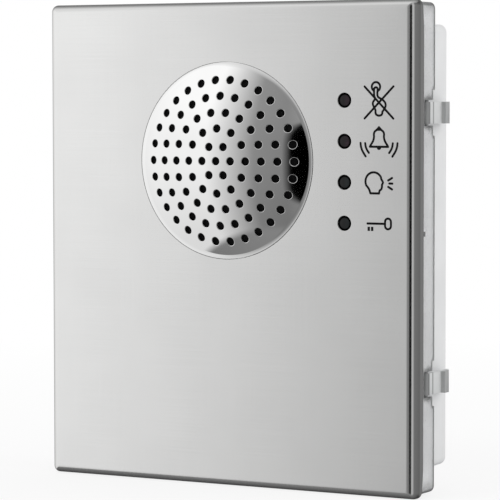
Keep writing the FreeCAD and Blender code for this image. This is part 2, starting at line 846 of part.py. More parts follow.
def bus_header():
    """Two rows of square pins in one base."""
    width = header_pins * header_pin_spacing
    height = header_rows * header_pin_spacing
    base_rear = board_back + header_base_depth
    pin_span = (base_rear, base_rear + header_pin_depth)
    header = box(centred(0, width), (board_back, base_rear), centred(header_z, height))
    pins = []
    for i in range(header_pins):
        for j in range(header_rows):
            x = (i - (header_pins - 1) / 2) * header_pin_spacing
            z = header_z + (j - (header_rows - 1) / 2) * header_pin_spacing
            pins.append(box(centred(x, header_pin_width), pin_span, centred(z, header_pin_width)))
    return header.fuse(pins).removeSplitter()


def trimmer_body(side):
    """Square trimmer with a round seat for its rotor."""
    rear = board_back + trimmer_depth
    x = side * trimmer_x
    body = box(centred(x, trimmer_width), (board_back, rear), centred(trimmer_z, trimmer_width))
    return body.cut(rod(rotor_radius + rotor_fit, x, trimmer_z, (rear - rotor_sink, rear)))


def trimmer_rotor(side):
    """Slotted disc that a screwdriver turns."""
    rear = board_back + trimmer_depth
    x = side * trimmer_x
    rotor = rod(rotor_radius, x, trimmer_z, (rear - rotor_sink, rear))
    slot_span = (rear - rotor_slot_depth, rear)
    return rotor.cut(box(centred(x, 2 * rotor_radius), slot_span, centred(trimmer_z, rotor_slot_width)))


def capacitors():
    """Upright cans side by side on the board."""
    cans = []
    for i in range(capacitor_count):
        z = capacitor_z + i * capacitor_pitch
        cans.append(post(capacitor_radius, capacitor_x, z, (board_back, board_back + capacitor_depth)))
    return Part.makeCompound(cans)


def amplifier_chip():
    return box(centred(amplifier_x, amplifier_length), (board_back, board_back + amplifier_depth),
               centred(amplifier_z, amplifier_width))


def controller_chip():
    return box(centred(controller_x, controller_width), (board_back, board_back + controller_depth),
               centred(controller_z, controller_width))


def lead(start, end):
    """Flat twin-core wire along Y with one sideways step, made of straight runs and two quarter arcs."""
    bend = abs(end.z - start.z) / 2
    up = V(0, 0, math.copysign(bend, end.z - start.z))
    back = V(0, bend, 0)
    turn = math.sqrt(0.5)
    middle = (start + end) / 2
    first, last = middle - back - up, middle + back + up
    arcs = [Part.Arc(first, first + up + back * turn - up * turn, middle).toShape(),
            Part.Arc(middle, last - up - back * turn + up * turn, last).toShape()]
    path = Part.Wire([Part.makeLine(start, first)] + arcs + [Part.makeLine(last, end)])
    half_width = lead_width / 2
    half_thickness = lead_thickness / 2
    line = [start + V(sx * half_width, 0, sz * half_thickness) for sx, sz in corners]
    return path.makePipeShell([Part.makePolygon(line + [line[0]])], True, True)


def speaker_lead():
    """Wire from the solder tag to the board."""
    start = V(0, basket_rear + tag_sheet, tag_span()[1] - lead_thickness)
    return lead(start, V(0, board_front, start.z + lead_shift))


def microphone_lead():
    """Wire from the capsule to the board."""
    start = V(0, wall_back + boot_front + capsule_depth, microphone_z)
    return lead(start, V(0, board_front, start.z - lead_shift))


def build_parts():
    """Every node of the part by name."""
    parts = {
        "front_cover": front_cover(),
        "speaker_grille": speaker_grille(),
        "grille_fleece": grille_fleece(),
        "cover_nuts": cover_nuts(),
        "cover_gasket": cover_gasket(),
        "carrier_frame": carrier_frame(),
        "rear_housing": rear_housing(),
        "case_screws": case_screws(),
        "circuit_board": circuit_board(),
        "speaker_basket": speaker_basket(),
        "speaker_yoke": speaker_yoke(),
        "speaker_magnet": speaker_magnet(),
        "speaker_pole_plate": speaker_pole_plate(),
        "speaker_surround": speaker_surround(),
        "speaker_cone": speaker_cone(),
        "voice_coil": voice_coil(),
        "speaker_seal": speaker_seal(),
        "speaker_clamp": speaker_clamp(),
        "clamp_screws": clamp_screws(),
        "microphone_boot": microphone_boot(),
        "microphone_capsule": microphone_capsule(),
        "light_guide": light_guide(),
        "status_leds": status_leds(),
        "terminal_block": terminal_block(),
        "terminal_screws": terminal_screws(),
        "bus_header": bus_header(),
        "capacitors": capacitors(),
        "amplifier_chip": amplifier_chip(),
        "controller_chip": controller_chip(),
        "speaker_lead": speaker_lead(),
        "microphone_lead": microphone_lead(),
    }
    for i, z in enumerate(lamp_places):
        parts["lamp_lens_%d" % (i + 1)] = lens(z)
    for name, (side, z) in latch_places().items():
        parts["latch_" + name] = latch(side, z)
    for name, side in (("speaker_trimmer", -1), ("microphone_trimmer", 1)):
        parts[name + "_body"] = trimmer_body(side)
        parts[name + "_rotor"] = trimmer_rotor(side)
    return parts


os.makedirs("parts", exist_ok=True)
for node, shape in build_parts().items():
    shape.exportStep("parts/%s.step" % node)
    print(node, len(shape.Solids), "solids", round(shape.Volume, 2), "cubic mm, valid", shape.isValid())
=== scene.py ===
import json
import math

import bmesh
import bpy
from mathutils import Matrix, Vector
from mathutils.geometry import delaunay_2d_cdt


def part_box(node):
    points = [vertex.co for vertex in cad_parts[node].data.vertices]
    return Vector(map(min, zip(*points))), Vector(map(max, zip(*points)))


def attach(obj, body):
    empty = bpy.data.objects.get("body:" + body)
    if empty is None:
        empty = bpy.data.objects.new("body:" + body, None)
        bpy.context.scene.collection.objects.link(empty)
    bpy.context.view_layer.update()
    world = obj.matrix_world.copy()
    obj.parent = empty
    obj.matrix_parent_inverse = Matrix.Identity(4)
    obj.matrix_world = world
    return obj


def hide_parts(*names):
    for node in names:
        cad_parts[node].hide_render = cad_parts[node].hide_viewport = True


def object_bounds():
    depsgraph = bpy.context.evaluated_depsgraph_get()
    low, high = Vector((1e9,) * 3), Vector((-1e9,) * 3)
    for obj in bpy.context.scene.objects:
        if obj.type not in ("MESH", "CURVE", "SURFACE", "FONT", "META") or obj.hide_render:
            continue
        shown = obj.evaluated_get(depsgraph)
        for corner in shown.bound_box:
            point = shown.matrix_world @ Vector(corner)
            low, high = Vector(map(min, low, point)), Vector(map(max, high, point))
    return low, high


# Frame of the part: metres, X to the right as seen from the street, Y into the wall, Z up.
# Small sizes are written in millimetres and turned into metres by MM.
MM = 0.001

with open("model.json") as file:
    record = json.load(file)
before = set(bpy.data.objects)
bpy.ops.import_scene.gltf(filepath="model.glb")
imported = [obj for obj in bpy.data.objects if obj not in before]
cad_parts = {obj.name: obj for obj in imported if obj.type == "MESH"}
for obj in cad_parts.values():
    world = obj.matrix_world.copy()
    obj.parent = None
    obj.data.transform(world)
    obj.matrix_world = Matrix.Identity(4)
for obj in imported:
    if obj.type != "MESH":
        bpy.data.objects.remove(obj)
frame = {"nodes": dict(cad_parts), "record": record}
cad_low, cad_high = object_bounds()

# Places read from the frame
cover_low, cover_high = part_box("front_cover")
grille_low, grille_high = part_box("speaker_grille")
gasket_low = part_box("cover_gasket")[0]
nuts_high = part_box("cover_nuts")[1]
screws_low, screws_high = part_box("case_screws")
terminal_low, terminal_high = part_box("terminal_screws")
header_low, header_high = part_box("bus_header")
rim_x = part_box("carrier_frame")[1].x
latch_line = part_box("carrier_frame")[1].y - 3.1 * MM
latch_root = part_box("latch_upper_right")[0].y
face = cover_low.y
plate_back = gasket_low.y
sheet = plate_back - face
dome_z = (grille_low.z + grille_high.z) / 2

# Front tray
corner_radius = 1.8 * MM
bend_depth = 2.5 * MM
bend_reach = 2.8 * MM
end_reach = 2.1 * MM
skirt_depth = 4.2 * MM
corner_lift = 0.8 * MM
lift_reach = 7.0 * MM
lug_height = 1.2 * MM
lug_reach = 0.8 * MM
lug_z = 3.9 * MM
stud_radius = 1.5 * MM
stud_length = 5.6 * MM
nut_half = 2.75 * MM
hole_edge = 0.14 * MM
lamp_hole_radius = 1.85 * MM
lens_radius = 1.8 * MM
skirt_edge = face + skirt_depth

# Domed grille
dome_radius = 25.0 * MM
dome_clearance = 0.04 * MM
dome_root = 23.75 * MM
dome_root_rise = 0.33 * MM
dome_edge = 0.12 * MM
dome_end_slope = math.radians(2.5)
dome_flange = 28.5 * MM
grille_hole_radius = 1.0 * MM
grille_hole_roll = 0.2 * MM
grille_ring_pitch = 4.11 * MM
grille_rings = 5
grille_hole_steps = 28
dome_steps = 144

# Camera of the photograph
camera_place = Vector((0.34934, -0.63235, 0.03926))
camera_yaw = 0.51386
camera_pitch = 0.05780
camera_roll = 0.00114
camera_lens = 198.51

# Signs of two coordinates in the four quarters of a plane
quadrants = ((1, 1), (-1, 1), (-1, -1), (1, -1))


def polar(radius, angle):
    return radius * math.cos(angle), radius * math.sin(angle)


def turn_steps(count, start=0.0):
    """Angles of a full turn."""
    return [start + 2 * math.pi * i / count for i in range(count)]


def quarter(steps):
    """Sine and one minus cosine of even angles over a quarter turn: how far a round has come out and down."""
    angles = [math.pi / 2 * i / steps for i in range(steps + 1)]
    return [(math.sin(t), 1 - math.cos(t)) for t in angles]


def numbered(loops, start=0):
    """Loops of numbers that count on from a start, as many in each as the given loop has points."""
    made = []
    for loop in loops:
        made.append(list(range(start, start + len(loop))))
        start += len(loop)
    return made


def place_object(name, data):
    """New object in the scene."""
    obj = bpy.data.objects.new(name, data)
    bpy.context.scene.collection.objects.link(obj)
    return obj


class Shell:
    """Vertices and faces of a piece while it is put together, with a normal for each vertex that has one."""

    def __init__(self):
        self.points = []
        self.faces = []
        self.normals = []

    def loop(self, points, normals=None):
        start = len(self.points)
        self.points += [Vector(p) for p in points]
        self.normals += normals if normals else [None] * len(points)
        return list(range(start, len(self.points)))

    def circle(self, x, y, z, radius, steps):
        """Loop about a line along Y."""
        return self.loop([(x + a, y, z + b) for a, b in (polar(radius, t) for t in turn_steps(steps))])

    def rings(self, loops):
        """Quads between each closed loop and the next one of as many vertices."""
        for a, b in zip(loops, loops[1:]):
            count = len(a)
            self.faces += [(a[i], a[(i + 1) % count], b[(i + 1) % count], b[i]) for i in range(count)]

    def cap(self, loop):
        self.faces.append(tuple(loop))

    def rod(self, loops):
        """Loops joined into a solid with a cap at each end."""
        self.rings(loops)
        self.cap(loops[0])
        self.cap(loops[-1])

    def fan(self, loop, tip):
        count = len(loop)
        self.faces += [(loop[i], loop[(i + 1) % count], tip) for i in range(count)]

    def fill(self, outer, holes, inner=()):
        """Triangles inside the outer loop and outside the holes, through the inner points as well."""
        index = [i for loop in [outer] + holes for i in loop] + list(inner)
        flat = [Vector((self.points[i].x, self.points[i].z)) / MM for i in index]
        edges = [(i, (i + 1) % len(outer)) for i in range(len(outer))]
        cuts = numbered(holes, len(outer))
        _, _, triangles, sources, _, in_cuts = delaunay_2d_cdt(flat, edges, cuts, 1, 1e-6)
        for triangle, cut in zip(triangles, in_cuts):
            if not cut:
                self.faces.append(tuple(index[sources[i][0]] for i in triangle))


def piece(name, shell, slot, replaces=(), finish=None, crease=35.0, own_normals=False):
    """Object from a shell, with outward faces, smooth where it is not creased, riding on the module.
    It has the finish of its slot, or another one by its name."""
    mesh = bpy.data.meshes.new(name)
    mesh.from_pydata(shell.points, [], shell.faces)
    work = bmesh.new()
    work.from_mesh(mesh)
    bmesh.ops.recalc_face_normals(work, faces=work.faces)
    work.to_mesh(mesh)
    work.free()
    mesh.polygons.foreach_set("use_smooth", [True] * len(mesh.polygons))
    mesh.set_sharp_from_angle(angle=math.radians(crease))
    obj = place_object(name, mesh)
    mesh.materials.append(materials[finish or slot])
    if own_normals:
        loop_normals = []
        for corner in mesh.loops:
            own = shell.normals[corner.vertex_index]
            loop_normals.append(own if own else mesh.corner_normals[corner.index].vector)
        mesh.normals_split_custom_set([tuple(n) for n in loop_normals])
    else:
        weigh_normals(obj)
    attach(obj, "module")
    if replaces:
        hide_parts(*replaces)
    return obj


def weigh_normals(obj):
    """Flat faces keep their own normal, and only the rounds between them shade softly."""
    modifier = obj.modifiers.new("weighted", "WEIGHTED_NORMAL")
    modifier.keep_sharp = True
    modifier.weight = 100


# Materials, each kept under its name. Most names are also those of the material slots.

materials = {}


class Nodes:
    """A node tree with helpers for its procedural nodes."""

    def __init__(self, tree):
        self.tree = tree

    def feed(self, socket, value):
        """Links a socket to an output, or sets it to a constant."""
        if isinstance(value, bpy.types.NodeSocket):
            self.tree.links.new(value, socket)
        else:
            socket.default_value = value

    def node(self, kind, sockets=None, **settings):
        """New node with its settings and what feeds its sockets, which go by name or number."""
        made = self.tree.nodes.new(kind)
        for key, value in settings.items():
            setattr(made, key, value)
        for socket, value in (sockets or {}).items():
            self.feed(made.inputs[socket], value)
        return made

    def split(self, vector):
        """X, Y and Z of a vector, as numbers."""
        return self.node("ShaderNodeSeparateXYZ", {"Vector": vector}).outputs

    def spread(self, value, low, high, start=0.3, end=0.7):
        """A number that runs from low to high while the value runs from start to end."""
        return self.node("ShaderNodeMapRange", {"Value": value, "From Min": start, "From Max": end,
                                                "To Min": low, "To Max": high}).outputs["Result"]

    def tint(self, value, dark, light, start=0.3, end=0.7):
        """A colour that runs from dark to light while the value runs from start to end."""
        ramp = self.node("ShaderNodeValToRGB", {"Fac": value})
        for element, place, colour in zip(ramp.color_ramp.elements, (start, end), (dark, light)):
            element.position = place
            element.color = (*colour, 1)
        return ramp.outputs["Color"]

    def math(self, operation, first, second=0):
        return self.node("ShaderNodeMath", {0: first, 1: second}, operation=operation).outputs["Value"]

    def vector(self, operation, *values):
        return self.node("ShaderNodeVectorMath", dict(enumerate(values)), operation=operation).outputs

    def times(self, first, second):
        return self.math("MULTIPLY", first, second)

    def blend(self, first, second, share):
        """Two numbers mixed, the first by its share."""
        return self.math("ADD", self.times(first, share), self.times(second, 1 - share))

    def dim(self, colour, factor):
        """A colour times a number. The node's colours are its sockets 6 and 7, and 2 among its outputs."""
        return self.node("ShaderNodeMix", {"Factor": 1.0, 6: colour, 7: factor},
                         data_type="RGBA", blend_type="MULTIPLY").outputs[2]


class Finish(Nodes):
    """A Principled material."""

    def __init__(self, name, **sockets):
        self.material = bpy.data.materials.new(name)
        materials[name] = self.material
        self.material.use_nodes = True
        super().__init__(self.material.node_tree)
        self.shader = self.tree.nodes["Principled BSDF"]
        for socket, value in sockets.items():
            self.give(socket.replace("_", " "), value)
        coordinates = self.node("ShaderNodeTexCoord").outputs
        self.place = coordinates["Object"]
        self.facing = coordinates["Normal"]

    def give(self, socket, value):
        self.feed(self.shader.inputs[socket], value)

    def noise(self, size, detail=3.0, stretch=(1, 1, 1)):
        """Noise whose features measure about the size, in metres, longer along a stretched axis."""
        scale = [1 / (size * factor) for factor in stretch]
        scaled = self.node("ShaderNodeMapping", {"Vector": self.place, "Scale": scale}).outputs["Vector"]
        sockets = {"Vector": scaled, "Scale": 1, "Detail": detail}
        return self.node("ShaderNodeTexNoise", sockets).outputs["Fac"]

    def colour(self, output):
        self.give("Base Color", output)

    def rough(self, output):
        self.give("Roughness", output)

    def bump(self, output, depth):
        """Relief of a depth in metres."""
        relief = self.node("ShaderNodeBump", {"Strength": 1.0, "Distance": depth, "Height": output})
        self.give("Normal", relief.outputs["Normal"])

    def surface(self, shader):
        """Another shader than the Principled one."""
        self.feed(self.tree.nodes["Material Output"].inputs["Surface"], shader)


def shade(colour, factor):
    return tuple(c * factor for c in colour)


def brushed_plate():
    """Satin stainless steel, ground in long level strokes with a fine cross grain. Its reflections blur
    mostly upright, across the strokes, and the bend along its top gets painted shade where it faces up."""
    steel = (0.78, 0.78, 0.775)
    top_bend_shade = 0.8
    finish = Finish("brushed_plate", Metallic=1.0, Anisotropic=0.8)
    strokes = finish.noise(0.12 * MM, 4, (220, 1, 1))
    cross = finish.noise(0.16 * MM, 3, (1, 1, 160))
    clouds = finish.noise(22 * MM, 2)
    grain = finish.blend(strokes, cross, 0.7)
    tone = finish.tint(finish.blend(grain, clouds, 0.6), shade(steel, 0.965), shade(steel, 1.03), 0.36, 0.64)
    # Painted shade: the colour dims on surfaces that face upwards, along the top bend.
    finish.colour(finish.dim(tone, finish.spread(finish.split(finish.facing)[2], 1, top_bend_shade, 0.02, 0.3)))
    finish.rough(finish.spread(grain, 0.15, 0.19))
    finish.bump(grain, 0.0006 * MM)
    finish.give("Tangent", finish.node("ShaderNodeCombineXYZ", {"Y": 0.1, "Z": 1.0}).outputs["Vector"])


def polished_dome():
    """Mirror-polished steel with the faint haze of wiping."""
    steel = (0.86, 0.86, 0.857)
    finish = Finish("polished_dome", Metallic=1.0)
    haze = finish.noise(9 * MM, 3, (1, 1, 2.2))
    fine = finish.noise(0.5 * MM, 2)
    mixed = finish.blend(haze, fine, 0.75)
    finish.colour(finish.tint(mixed, shade(steel, 0.975), steel))
    finish.rough(finish.spread(mixed, 0.045, 0.085))


def smoked_window(name, tint, x, z):
    """Smoked acrylic about a centre on the plate, with a painted black shadow at its rim and painted
    shade on the dome's side.
    """
    rim_shadow_start, rim_shadow_end = 1.2 * MM, 1.45 * MM
    shade_until, unshaded_from = x - 0.3 * MM, x + 0.6 * MM
    shaded_side_tone = 0.25
    shine = 0.5
    finish = Finish(name, IOR=1.4)
    cloud = finish.noise(0.9 * MM, 2)
    flat = finish.vector("MULTIPLY", finish.place, (1, 0, 1))["Vector"]
    away = finish.vector("DISTANCE", flat, (x, 0, z))["Value"]
    # Painted shadow: a black ring at the window's rim, where the gap to the hole lies in shade. The rim also
    # loses its specular.
    inside = finish.spread(away, 1, 0, rim_shadow_start, rim_shadow_end)
    # Painted shade: the window is darker on the dome's side.
    side_shade = finish.spread(finish.split(finish.place)[0], shaded_side_tone, 1, shade_until, unshaded_from)
    # Tone of the smoke, with the painted shadow and the painted shade multiplied in.
    depth = finish.times(finish.times(inside, side_shade), cloud)
    finish.colour(finish.tint(depth, (0.001, 0.001, 0.001), tint, 0.0, 0.7))
    finish.give("Specular IOR Level", finish.times(inside, shine))
    finish.rough(finish.spread(cloud, 0.10, 0.18))


def clear_moulding():
    """Clear plastic with a spark-eroded, slightly milky surface. Its edges and round corners get painted
    shade, standing in for the dark look that refraction gives them.
    """
    edge_shade_width = 2.2 * MM
    corner_shade_share = 0.7
    darkest_shade = 0.08
    finish = Finish("clear_moulding", IOR=1.49, Transmission_Weight=0.5)
    milk = finish.noise(7 * MM, 2)
    grain = finish.noise(0.22 * MM, 3)
    # Painted shade: the colour dims near edges, found with the Bevel node, and on round corners that face
    # partly up or down.
    rounded = finish.node("ShaderNodeBevel", {"Radius": edge_shade_width}).outputs["Normal"]
    sharp = finish.node("ShaderNodeNewGeometry").outputs["Normal"]
    edge = finish.spread(finish.vector("DOT_PRODUCT", rounded, sharp)["Value"], 1, 0, 0.90, 0.995)
    slope = finish.math("ABSOLUTE", finish.split(finish.facing)[2])
    corner = finish.times(finish.spread(slope, 0, 1, 0.3, 0.5), finish.spread(slope, 1, 0, 0.9, 0.99))
    dark = finish.math("MAXIMUM", edge, finish.times(corner, corner_shade_share))
    finish.colour(finish.dim(finish.tint(milk, (0.90, 0.905, 0.91), (0.96, 0.965, 0.97)),
                             finish.spread(dark, 1, darkest_shade, 0, 1)))
    finish.rough(finish.spread(grain, 0.26, 0.40))
    finish.bump(grain, 0.004 * MM)


def latch_moulding():
    """Milky plastic of the latches. Painted shade darkens the barb and the root in its slot, and a thin
    painted shade line for a groove crosses the arm.
    """
    clear = (0.66, 0.67, 0.67)
    barb_shade_tone = 0.60
    groove_shade_tone = 0.45
    root_shadow_tone = 0.45
    finish = Finish("latch_moulding", IOR=1.5)
    grain = finish.noise(0.18 * MM, 3)
    drift = finish.noise(14 * MM, 2)
    x, y = finish.split(finish.place)[:2]
    # Painted shade on the barb, a painted shade line for a groove across the arm, and painted shadow on the
    # root in its slot.
    barb_shade = finish.spread(finish.math("ABSOLUTE", x), 1, barb_shade_tone, rim_x + 0.05 * MM, rim_x + 0.3 * MM)
    off_line = finish.math("ABSOLUTE", finish.math("SUBTRACT", y, latch_line))
    line = finish.spread(off_line, groove_shade_tone, 1, 0.22 * MM, 0.38 * MM)
    root = finish.spread(y, root_shadow_tone, 1, latch_root + 0.9 * MM, latch_root + 1.4 * MM)
    dark = finish.times(finish.times(barb_shade, line), root)
    finish.colour(finish.dim(finish.tint(drift, shade(clear, 0.97), shade(clear, 1.03)), dark))
    finish.rough(finish.spread(grain, 0.30, 0.42))
    finish.bump(grain, 0.006 * MM)


def plastic(name, colour, rough=(0.38, 0.52)):
    """Moulded plastic with a fine eroded grain and a slow drift of tone."""
    finish = Finish(name, IOR=1.5)
    drift = finish.noise(14 * MM, 2)
    grain = finish.noise(0.18 * MM, 3)
    finish.colour(finish.tint(drift, shade(colour, 0.97), shade(colour, 1.03)))
    finish.rough(finish.spread(grain, *rough))
    finish.bump(grain, 0.006 * MM)


def metal(name, colour, rough=(0.22, 0.38), stretch=(1, 1, 1), size=0.15 * MM):
    """Bare or plated metal with fine tool marks."""
    finish = Finish(name, Metallic=1.0)
    marks = finish.noise(size, 4, stretch)
    stain = finish.noise(3 * MM, 2)
    mixed = finish.blend(marks, stain, 0.5)
    finish.colour(finish.tint(mixed, shade(colour, 0.86), shade(colour, 1.05)))
    finish.rough(finish.spread(mixed, *rough))
    finish.bump(marks, 0.002 * MM)


def soft(name, colour, cell=0.35 * MM, relief=0.04 * MM, rough=(0.7, 0.95)):
    """Foam, rubber or paper: a cellular skin with little shine."""
    finish = Finish(name, IOR=1.45)
    cells = finish.node("ShaderNodeTexVoronoi", {"Vector": finish.place, "Scale": 1 / cell})
    drift = finish.noise(4 * MM, 2)
    finish.colour(finish.tint(drift, shade(colour, 0.8), shade(colour, 1.2)))
    finish.rough(finish.spread(drift, *rough))
    finish.bump(cells.outputs["Distance"], relief)


def green_board():
    """Solder mask over copper tracks."""
    finish = Finish("green_board", IOR=1.5, Coat_Weight=0.3, Coat_Roughness=0.15)
    upright = finish.node("ShaderNodeMapping", {"Vector": finish.place, "Rotation": (math.radians(90), 0, 0)})
    tracks = finish.node("ShaderNodeTexBrick", {
        "Vector": upright.outputs["Vector"], "Scale": 1 / (9 * MM), "Mortar Size": 0.035,
        "Color1": (0.030, 0.150, 0.070, 1), "Color2": (0.034, 0.165, 0.078, 1),
        "Mortar": (0.055, 0.235, 0.115, 1)})
    finish.colour(tracks.outputs["Color"])
    weave = finish.noise(0.4 * MM, 2)
    finish.rough(finish.spread(weave, 0.28, 0.42))
    finish.bump(weave, 0.01 * MM)


def grained(name, dark, light, grain, rough, relief=0, **sockets):
    """A finish whose colour, shine and relief follow one grain, given by its size, detail and stretch."""
    finish = Finish(name, **sockets)
    noise = finish.noise(*grain)
    finish.colour(finish.tint(noise, dark, light))
    finish.rough(finish.spread(noise, *rough))
    if relief:
        finish.bump(noise, relief)


def black_fleece():
    """Acoustic fleece, so deep black that the holes look empty."""
    fleece = (0.006, 0.006, 0.0062)
    grained("black_fleece", shade(fleece, 0.5), shade(fleece, 1.6), (0.25 * MM, 4, (1, 1, 6)), (0.85, 1.0),
            0.03 * MM, IOR=1.1)


def print_ink():
    """Black screen print, a little uneven where the ink lies on the grain."""
    ink = (0.003, 0.003, 0.0032)
    grained("print_ink", shade(ink, 0.7), shade(ink, 1.5), (0.10 * MM, 3), (0.42, 0.58),
            IOR=1.5, Specular_IOR_Level=0.12)


def clear_guide():
    """Clear acrylic of the light guide, with a faint ripple."""
    grained("clear_guide", (0.90, 0.93, 0.94), (0.97, 0.985, 0.99), (2.5 * MM, 2), (0.03, 0.10),
            IOR=1.49, Transmission_Weight=0.9)


brushed_plate()
polished_dome()
clear_moulding()
latch_moulding()
green_board()
clear_guide()
black_fleece()
print_ink()
plastic("white_moulding", (0.80, 0.805, 0.81))
plastic("black_moulding", (0.018, 0.018, 0.020))
plastic("led_lens", (0.80, 0.78, 0.62), (0.15, 0.25))
plastic("terminal_green", (0.055, 0.22, 0.095))
plastic("trimmer_blue", (0.03, 0.11, 0.36))
plastic("trimmer_white", (0.76, 0.755, 0.72))
plastic("lead_grey", (0.16, 0.16, 0.165), (0.45, 0.6))
metal("plated_fastener", (0.66, 0.65, 0.62))
metal("speaker_steel", (0.45, 0.45, 0.45))
metal("magnet_grey", (0.20, 0.20, 0.21), (0.45, 0.6))
metal("coil_copper", (0.72, 0.36, 0.18), (0.25, 0.35), (1, 1, 1), 0.1 * MM)
metal("can_aluminium", (0.80, 0.80, 0.81), (0.2, 0.3), (1, 30, 1))
metal("gold_contact", (0.90, 0.66, 0.30), (0.15, 0.25))
soft("black_foam", (0.022, 0.022, 0.023))
soft("black_rubber", (0.020, 0.020, 0.021), 0.2 * MM, 0.01 * MM, (0.5, 0.7))
soft("speaker_paper", (0.06, 0.058, 0.055), 0.25 * MM, 0.02 * MM)


def dress_nodes():
    """Each node of the frame gets the finish of its material slot. The four windows have no finish yet,
    and pieces replace them."""
    for part in frame["record"]["subparts"]:
        obj = frame["nodes"][part["node"]]
        obj.data.materials.clear()
        obj.data.materials.append(materials.get(part["material_slot"], materials["print_ink"]))
        obj.data.polygons.foreach_set("use_smooth", [True] * len(obj.data.polygons))
        obj.data.set_sharp_from_angle(angle=math.radians(25))


def soften(node, width):
    """Moulded edges: coplanar faces are joined and the corners between them rounded."""
    obj = frame["nodes"][node]
    weld = obj.modifiers.new("weld", "WELD")
    weld.merge_threshold = 0.0005 * MM
    flat = obj.modifiers.new("flat", "DECIMATE")
    flat.decimate_type = "DISSOLVE"
    flat.angle_limit = math.radians(1)
    edge = obj.modifiers.new("edge", "BEVEL")
    edge.width = width
    edge.segments = 2
    edge.limit_method = "ANGLE"
    edge.angle_limit = math.radians(35)
    edge.harden_normals = True


def threaded_rod(shell, x, z, span, radius, pitch, depth, steps, point=1.0):
    """Stack of rings that widen and narrow, over a span of Y. The first ring may be drawn in to a point."""
    start, end = span
    count = int((end - start) / pitch * 2)
    loops = []
    for i in range(count + 1):
        reach = radius - (depth if i % 2 else 0)
        if i == 0:
            reach *= point
        loops.append(shell.circle(x, start + (end - start) * i / count, z, reach, steps))
    shell.rod(loops)


# Front tray


def rounded_ring(inset, y, end_inset=None):
    """Points round the plate's outline, moved inwards by the inset, or by another one at top and bottom.
    Y is a number or a function of x and z."""
    corner_steps = 10
    side_steps = 24
    inset_z = inset if end_inset is None else end_inset
    half_x = cover_high.x - inset
    half_z = cover_high.z - inset_z
    radius_x = max(corner_radius - inset, 0.3 * MM)
    radius_z = max(corner_radius - inset_z, 0.3 * MM)
    flat = []
    for corner, (sx, sz) in enumerate(quadrants):
        centre = (sx * (half_x - radius_x), sz * (half_z - radius_z))
        for step in range(corner_steps + 1):
            dx, dz = polar(1, (corner + step / corner_steps) * math.pi / 2)
            flat.append((centre[0] + dx * radius_x, centre[1] + dz * radius_z))
        x, z = flat[-1]
        goal = (-x, z) if corner % 2 == 0 else (x, -z)
        flat += [(x + (goal[0] - x) * i / side_steps, z + (goal[1] - z) * i / side_steps)
                 for i in range(1, side_steps)]
    return [(x, y(x, z) if callable(y) else y, z) for x, z in flat]


def skirt_back(x, z):
    """The skirt's back edge comes forward a little at the corners."""
    past = (abs(x) - cover_high.x + lift_reach / 2) + (abs(z) - cover_high.z + lift_reach / 2)
    return skirt_edge - max(0.0, past) / lift_reach * corner_lift


def tray_rings(shell, inset, front, steps):
    """Rings over the bends, from the flat face to the skirt. They run out slowly along the face."""
    return [shell.loop(rounded_ring(inset + (bend_reach - inset) * (1 - out),
                                    front + (bend_depth - inset) * down,
                                    inset + (end_reach - inset) * (1 - out)))
            for out, down in quarter(steps)]


def hole_rings(shell, x, z, radius, steps):
    """A punched hole with a rounded front edge. Returns its front and its back loop."""
    loops = [shell.circle(x, face + hole_edge * down, z, radius + hole_edge * (1 - out), steps)
             for out, down in quarter(4)]
    loops.append(shell.circle(x, plate_back, z, radius, steps))
    shell.rings(loops)
    return loops[0], loops[-1]


def lens_places():
    """Centres of the four windows, from the top."""
    boxes = [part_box("lamp_lens_%d" % i) for i in (1, 2, 3, 4)]
    return [((low.x + high.x) / 2, (low.z + high.z) / 2) for low, high in boxes]


def build_tray():
    """The pressed plate: a flat face, bent edges and a skirt, with the dome's opening, four lamp holes,
    four studs and two lugs."""
    opening_steps = 160
    lamp_hole_steps = 40
    shell = Shell()
    outer = tray_rings(shell, 0, face, 14)
    outer.append(shell.loop(rounded_ring(0, lambda x, z: skirt_back(x, z) - hole_edge)))
    outer.append(shell.loop(rounded_ring(hole_edge, skirt_back)))
    outer.append(shell.loop(rounded_ring(sheet, skirt_back)))
    inner = tray_rings(shell, sheet, plate_back, 5)
    shell.rings(outer + inner[::-1])

    holes = [hole_rings(shell, 0, dome_z, dome_radius + dome_clearance, opening_steps)]
    holes += [hole_rings(shell, x, z, lamp_hole_radius, lamp_hole_steps) for x, z in lens_places()]
    shell.fill(outer[0], [front for front, back in holes])
    shell.fill(inner[0], [back for front, back in holes])
    add_studs(shell)
    add_lugs(shell)
    piece("front_tray", shell, "brushed_plate", ["front_cover"])


def add_studs(shell):
    """Threaded studs, welded behind the plate, on the axes of their nuts."""
    stud_x = nuts_high.x - nut_half
    stud_z = nuts_high.z - nut_half / math.cos(math.radians(30))
    pitch = 0.5 * MM
    depth = 0.14 * MM
    for sx, sz in quadrants:
        threaded_rod(shell, sx * stud_x, sz * stud_z, (plate_back, plate_back + stud_length), stud_radius,
                     pitch, depth, 20)


def add_lugs(shell):
    """Small lug in the middle of each side of the skirt."""
    low_z = lug_z - lug_height / 2
    high_z = lug_z + lug_height / 2
    for side in (-1, 1):
        low_x, high_x = sorted((side * cover_high.x, side * (cover_high.x - sheet)))
        corners = ((low_x, low_z), (high_x, low_z), (high_x, high_z), (low_x, high_z))
        shell.rod([shell.loop([(x, y, z) for x, z in corners])
                   for y in (skirt_edge - lug_reach / 4, skirt_edge + lug_reach)])


# Domed grille


